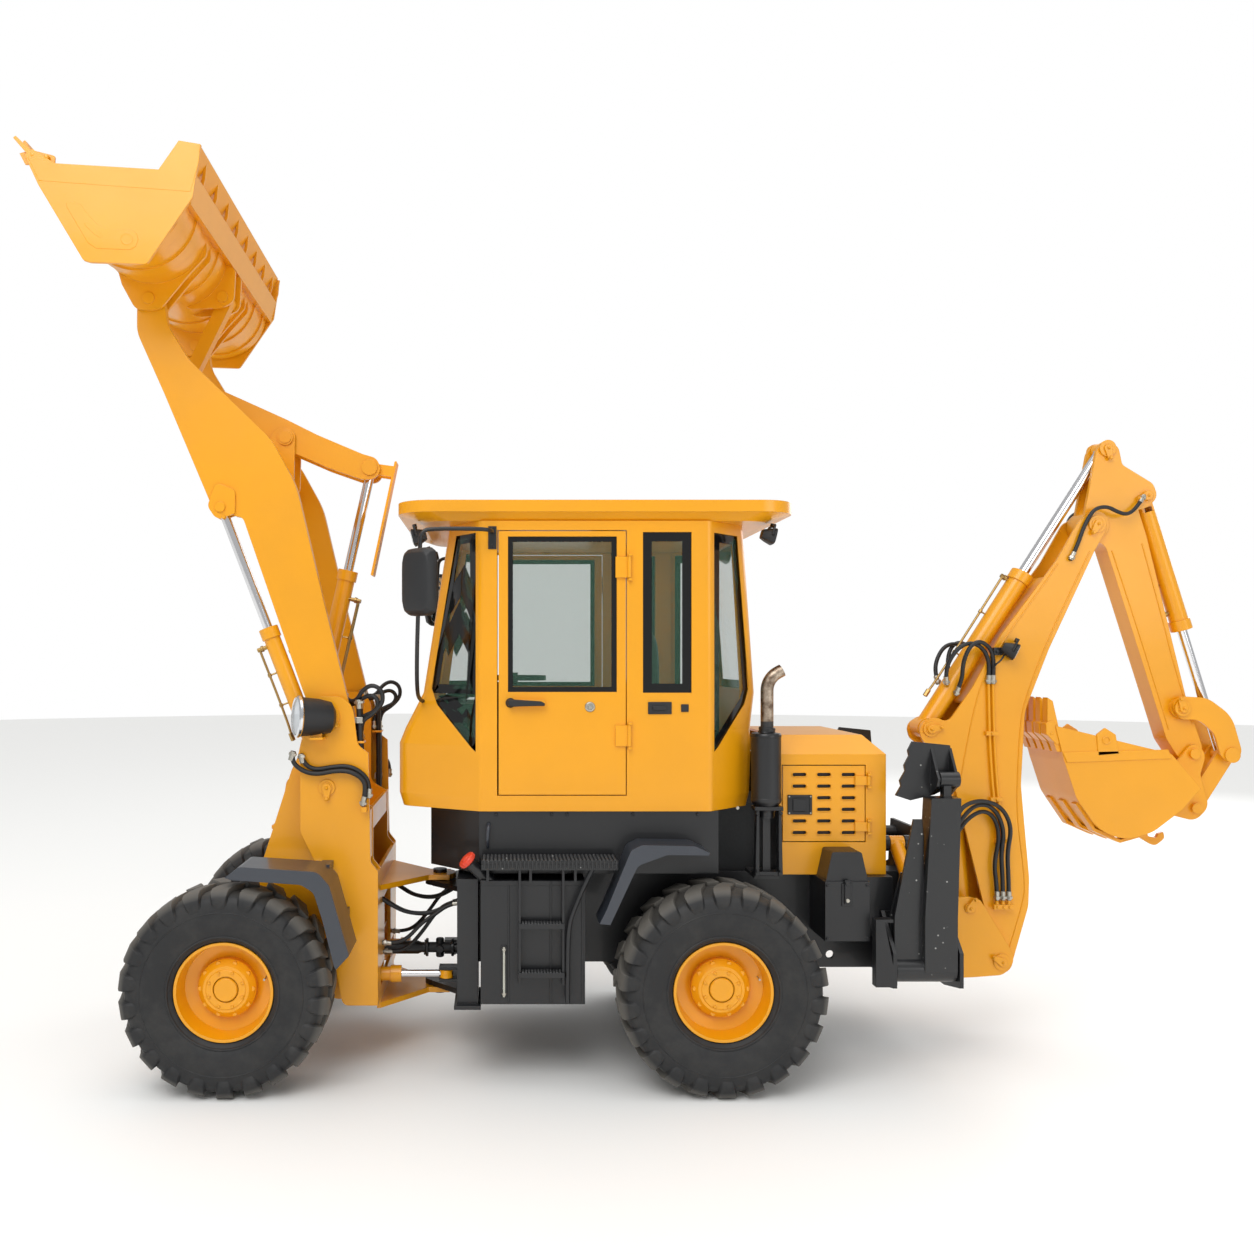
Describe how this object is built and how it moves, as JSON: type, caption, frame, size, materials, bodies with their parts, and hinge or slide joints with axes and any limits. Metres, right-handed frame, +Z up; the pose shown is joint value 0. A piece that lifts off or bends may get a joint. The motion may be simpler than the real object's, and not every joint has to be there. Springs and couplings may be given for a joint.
{
  "type": "articulated backhoe loader",
  "caption": "Articulated wheeled loader with a front bucket on raised arms, an enclosed cab, a rear backhoe and two folding outriggers.",
  "frame": {"origin": "on the ground, at the middle of the bounding box's underside, between the wheels", "axes": "+X to the machine's rear (the backhoe end), +Y to its right, +Z up"},
  "size_m": [6.7092, 2, 4.8348],
  "materials": {
    "yellow_paint": "gloss enamel",
    "black_paint": "satin enamel",
    "grey_paint": "satin enamel",
    "rubber_tyre": "moulded",
    "chrome_rod": "polished",
    "tinted_glass": "clear",
    "black_plastic": "textured",
    "seat_cover": "woven",
    "cast_steel": "raw"
  },
  "bodies": {
    "rear_unit": {"rear_frame": "black_paint", "side_boxes": "black_paint", "drive_train": "cast_steel", "engine_hood": "yellow_paint", "cab_shell": "black_paint", "cab_roof": "yellow_paint", "cab_glass": "tinted_glass", "operator_seat": "seat_cover", "control_consoles": "black_plastic", "exhaust_stack": "black_paint", "rear_fenders": "yellow_paint", "stabilizer_frame": "black_paint"},
    "front_unit": {"front_frame": "yellow_paint", "loader_towers": "yellow_paint", "front_axle": "black_paint", "front_fenders": "yellow_paint"},
    "loader_arms": {"loader_arm": "yellow_paint"},
    "loader_bucket": {"loader_bucket": "yellow_paint"},
    "rocker": {"rocker": "yellow_paint"},
    "bucket_link": {"bucket_link": "yellow_paint"},
    "lift_barrels": {"lift_barrels": "yellow_paint"},
    "lift_rods": {"lift_rods": "chrome_rod"},
    "tilt_barrel": {"tilt_barrel": "yellow_paint"},
    "tilt_rod": {"tilt_rod": "chrome_rod"},
    "swing_post": {"swing_post": "yellow_paint"},
    "boom": {"boom": "yellow_paint"},
    "dipper": {"dipper": "yellow_paint"},
    "hoe_bucket": {"hoe_bucket": "yellow_paint"},
    "boom_barrel": {"boom_barrel": "yellow_paint"},
    "boom_rod": {"boom_rod": "chrome_rod"},
    "dipper_barrel": {"dipper_barrel": "yellow_paint"},
    "dipper_rod": {"dipper_rod": "chrome_rod"},
    "bucket_barrel": {"bucket_barrel": "yellow_paint"},
    "bucket_rod": {"bucket_rod": "chrome_rod"},
    "tipping_links": {"tipping_links": "yellow_paint"},
    "hoe_bucket_link": {"hoe_bucket_link": "yellow_paint"},
    "left_door": {"left_door": "black_paint", "left_door_glass": "tinted_glass"},
    "left_hood_door": {"left_hood_door": "yellow_paint"},
    "left_outrigger": {"left_outrigger": "yellow_paint"},
    "left_outrigger_barrel": {"left_outrigger_barrel": "yellow_paint"},
    "left_outrigger_rod": {"left_outrigger_rod": "chrome_rod"},
    "left_steering_barrel": {"left_steering_barrel": "yellow_paint"},
    "left_steering_rod": {"left_steering_rod": "chrome_rod"},
    "front_left_wheel": {"front_left_tyre": "rubber_tyre", "front_left_rim": "yellow_paint"},
    "rear_left_wheel": {"rear_left_tyre": "rubber_tyre", "rear_left_rim": "yellow_paint"},
    "right_door": {"right_door": "black_paint", "right_door_glass": "tinted_glass"},
    "right_hood_door": {"right_hood_door": "yellow_paint"},
    "right_outrigger": {"right_outrigger": "yellow_paint"},
    "right_outrigger_barrel": {"right_outrigger_barrel": "yellow_paint"},
    "right_outrigger_rod": {"right_outrigger_rod": "chrome_rod"},
    "right_steering_barrel": {"right_steering_barrel": "yellow_paint"},
    "right_steering_rod": {"right_steering_rod": "chrome_rod"},
    "front_right_wheel": {"front_right_tyre": "rubber_tyre", "front_right_rim": "yellow_paint"},
    "rear_right_wheel": {"rear_right_tyre": "rubber_tyre", "rear_right_rim": "yellow_paint"}
  },
  "joints": [
    {"name": "articulation", "type": "hinge", "parent": "rear_unit", "child": "front_unit", "pos_m": [-1.2816, 0, 0.64], "axis": [0, 0, 1], "range_deg": [-35, 35]},
    {"name": "front_left_wheel_spin", "type": "hinge", "parent": "front_unit", "child": "front_left_wheel", "pos_m": [-2.3326, -0.755, 0.537], "axis": [0, 1, 0], "continuous": true},
    {"name": "front_right_wheel_spin", "type": "hinge", "parent": "front_unit", "child": "front_right_wheel", "pos_m": [-2.3326, 0.755, 0.537], "axis": [0, 1, 0], "continuous": true},
    {"name": "rear_left_wheel_spin", "type": "hinge", "parent": "rear_unit", "child": "rear_left_wheel", "pos_m": [0.2044, -0.755, 0.537], "axis": [0, 1, 0], "continuous": true},
    {"name": "rear_right_wheel_spin", "type": "hinge", "parent": "rear_unit", "child": "rear_right_wheel", "pos_m": [0.2044, 0.755, 0.537], "axis": [0, 1, 0], "continuous": true},
    {"name": "loader_lift", "type": "hinge", "parent": "front_unit", "child": "loader_arms", "pos_m": [-1.8396, 0, 1.92], "axis": [0, -1, 0], "range_deg": [0, 111]},
    {"name": "loader_tilt", "type": "hinge", "parent": "loader_arms", "child": "loader_bucket", "pos_m": [-2.8346, 0, 4.185], "axis": [0, 1, 0], "range_deg": [-95, 53]},
    {"name": "lift_barrels_pivot", "type": "hinge", "parent": "front_unit", "child": "lift_barrels", "pos_m": [-1.8646, 0, 1.535], "axis": [0, 1, 0], "range_deg": [-107.87, 3]},
    {"name": "lift_rods_slide", "type": "slide", "parent": "lift_barrels", "child": "lift_rods", "axis": [-0.3592, 0, 0.9333], "range_m": [-0.631, 0.01]},
    {"name": "rocker_pivot", "type": "hinge", "parent": "loader_arms", "child": "rocker", "pos_m": [-2.1696, 0, 3.51], "axis": [0, 1, 0], "range_deg": [-14.13, 22.95]},
    {"name": "bucket_link_pivot", "type": "hinge", "parent": "loader_bucket", "child": "bucket_link", "pos_m": [-2.5396, 0, 4.33], "axis": [0, 1, 0], "range_deg": [-23.14, 39.1]},
    {"name": "tilt_barrel_pivot", "type": "hinge", "parent": "front_unit", "child": "tilt_barrel", "pos_m": [-2.1046, 0, 1.49], "axis": [0, 1, 0], "range_deg": [-103.32, 3]},
    {"name": "tilt_rod_slide", "type": "slide", "parent": "tilt_barrel", "child": "tilt_rod", "axis": [0.2203, 0, 0.9754], "range_m": [-0.51, 0.01]},
    {"name": "hoe_swing", "type": "hinge", "parent": "rear_unit", "child": "swing_post", "pos_m": [1.6024, 0, 0.635], "axis": [0, 0, 1], "range_deg": [-80, 80]},
    {"name": "hoe_boom", "type": "hinge", "parent": "swing_post", "child": "boom", "pos_m": [1.9604, 0, 0.485], "axis": [0, 1, 0], "range_deg": [0, 90]},
    {"name": "hoe_dipper", "type": "hinge", "parent": "boom", "child": "dipper", "pos_m": [2.5224, 0, 3.01], "axis": [0, -1, 0], "range_deg": [0, 105]},
    {"name": "hoe_curl", "type": "hinge", "parent": "dipper", "child": "hoe_bucket", "pos_m": [3.0924, 0, 1.68], "axis": [0, -1, 0], "range_deg": [0, 130]},
    {"name": "boom_barrel_pivot", "type": "hinge", "parent": "swing_post", "child": "boom_barrel", "pos_m": [1.7754, 0, 0.795], "axis": [0, 1, 0], "range_deg": [-3, 99.69]},
    {"name": "boom_rod_slide", "type": "slide", "parent": "boom_barrel", "child": "boom_rod", "axis": [-0.0732, 0, 0.9973], "range_m": [-0.01, 0.5039]},
    {"name": "dipper_barrel_pivot", "type": "hinge", "parent": "boom", "child": "dipper_barrel", "pos_m": [1.5604, 0, 1.825], "axis": [0, 1, 0], "range_deg": [-11.56, 3]},
    {"name": "dipper_rod_slide", "type": "slide", "parent": "dipper_barrel", "child": "dipper_rod", "axis": [0.5386, 0, 0.8426], "range_m": [-0.6886, 0.01]},
    {"name": "tipping_link_pivot", "type": "hinge", "parent": "dipper", "child": "tipping_links", "pos_m": [3.0104, 0, 1.945], "axis": [0, 1, 0], "range_deg": [-96.34, 3]},
    {"name": "hoe_link_pivot", "type": "hinge", "parent": "hoe_bucket", "child": "hoe_bucket_link", "pos_m": [3.1024, 0, 1.366], "axis": [0, 1, 0], "range_deg": [-3, 90.44]},
    {"name": "bucket_barrel_pivot", "type": "hinge", "parent": "dipper", "child": "bucket_barrel", "pos_m": [2.8354, 0, 3.18], "axis": [0, 1, 0], "range_deg": [-10.59, 3]},
    {"name": "bucket_rod_slide", "type": "slide", "parent": "bucket_barrel", "child": "bucket_rod", "axis": [0.295, 0, -0.9555], "range_m": [-0.5624, 0.01]},
    {"name": "left_outrigger_pivot", "type": "hinge", "parent": "rear_unit", "child": "left_outrigger", "pos_m": [1.3279, -0.7, 0.6], "axis": [1, 0, 0], "range_deg": [0, 112]},
    {"name": "left_outrigger_barrel_pivot", "type": "hinge", "parent": "rear_unit", "child": "left_outrigger_barrel", "pos_m": [1.3274, -0.19, 1.18], "axis": [-1, 0, 0], "range_deg": [-5.38, 3]},
    {"name": "left_outrigger_rod_slide", "type": "slide", "parent": "left_outrigger_barrel", "child": "left_outrigger_rod", "axis": [0, -0.7769, -0.6297], "range_m": [-0.01, 0.337]},
    {"name": "right_outrigger_pivot", "type": "hinge", "parent": "rear_unit", "child": "right_outrigger", "pos_m": [1.3279, 0.7, 0.6], "axis": [-1, 0, 0], "range_deg": [0, 112]},
    {"name": "right_outrigger_barrel_pivot", "type": "hinge", "parent": "rear_unit", "child": "right_outrigger_barrel", "pos_m": [1.3274, 0.19, 1.18], "axis": [1, 0, 0], "range_deg": [-5.38, 3]},
    {"name": "right_outrigger_rod_slide", "type": "slide", "parent": "right_outrigger_barrel", "child": "right_outrigger_rod", "axis": [0, 0.7769, -0.6297], "range_m": [-0.01, 0.337]},
    {"name": "left_steering_barrel_pivot", "type": "hinge", "parent": "front_unit", "child": "left_steering_barrel", "pos_m": [-1.9696, -0.33, 0.47], "axis": [0, 0, 1], "range_deg": [-2.82, 2.82]},
    {"name": "left_steering_rod_slide", "type": "slide", "parent": "left_steering_barrel", "child": "left_steering_rod", "axis": [0.9992, 0.0405, 0], "range_m": [-0.1843, 0.1843]},
    {"name": "right_steering_barrel_pivot", "type": "hinge", "parent": "front_unit", "child": "right_steering_barrel", "pos_m": [-1.9696, 0.33, 0.47], "axis": [0, 0, 1], "range_deg": [-2.82, 2.82]},
    {"name": "right_steering_rod_slide", "type": "slide", "parent": "right_steering_barrel", "child": "right_steering_rod", "axis": [0.9992, -0.0405, 0], "range_m": [-0.1843, 0.1843]},
    {"name": "left_door_hinge", "type": "hinge", "parent": "rear_unit", "child": "left_door", "pos_m": [-0.2526, -0.72, 2.2], "axis": [0, 0, 1], "range_deg": [0, 75]},
    {"name": "left_hood_door_hinge", "type": "hinge", "parent": "rear_unit", "child": "left_hood_door", "pos_m": [1.0674, -0.515, 1.445], "axis": [0, 0, 1], "range_deg": [0, 80]},
    {"name": "right_door_hinge", "type": "hinge", "parent": "rear_unit", "child": "right_door", "pos_m": [-0.2526, 0.72, 2.2], "axis": [0, 0, -1], "range_deg": [0, 75]},
    {"name": "right_hood_door_hinge", "type": "hinge", "parent": "rear_unit", "child": "right_hood_door", "pos_m": [1.0674, 0.515, 1.445], "axis": [0, 0, -1], "range_deg": [0, 80]}
  ],
  "couplings": [
    {"joint": "lift_barrels_pivot", "follows": "loader_lift", "ratio": -0.9448},
    {"joint": "lift_rods_slide", "follows": "loader_lift", "m_per_rad": -0.32055},
    {"joint": "rocker_pivot", "follows": "loader_tilt", "ratio": -0.21},
    {"joint": "bucket_link_pivot", "follows": "loader_tilt", "ratio": -0.38},
    {"joint": "tilt_barrel_pivot", "follows": "loader_lift", "ratio": -0.9038},
    {"joint": "tilt_rod_slide", "follows": "loader_lift", "m_per_rad": -0.25809},
    {"joint": "boom_barrel_pivot", "follows": "hoe_boom", "ratio": 1.0743},
    {"joint": "boom_rod_slide", "follows": "hoe_boom", "m_per_rad": 0.31444},
    {"joint": "dipper_barrel_pivot", "follows": "hoe_dipper", "ratio": -0.0815},
    {"joint": "dipper_rod_slide", "follows": "hoe_dipper", "m_per_rad": -0.37032},
    {"joint": "tipping_link_pivot", "follows": "hoe_curl", "ratio": -0.71798},
    {"joint": "hoe_link_pivot", "follows": "hoe_curl", "ratio": 0.67265},
    {"joint": "bucket_barrel_pivot", "follows": "hoe_curl", "ratio": -0.0584},
    {"joint": "bucket_rod_slide", "follows": "hoe_curl", "m_per_rad": -0.24345},
    {"joint": "left_outrigger_barrel_pivot", "follows": "left_outrigger_pivot", "ratio": -0.02121},
    {"joint": "left_outrigger_rod_slide", "follows": "left_outrigger_pivot", "m_per_rad": 0.16728},
    {"joint": "right_outrigger_barrel_pivot", "follows": "right_outrigger_pivot", "ratio": -0.02121},
    {"joint": "right_outrigger_rod_slide", "follows": "right_outrigger_pivot", "m_per_rad": 0.16728},
    {"joint": "left_steering_barrel_pivot", "follows": "articulation", "ratio": -0.02339},
    {"joint": "left_steering_rod_slide", "follows": "articulation", "m_per_rad": -0.2854},
    {"joint": "right_steering_barrel_pivot", "follows": "articulation", "ratio": -0.02339},
    {"joint": "right_steering_rod_slide", "follows": "articulation", "m_per_rad": 0.2854}
  ]
}
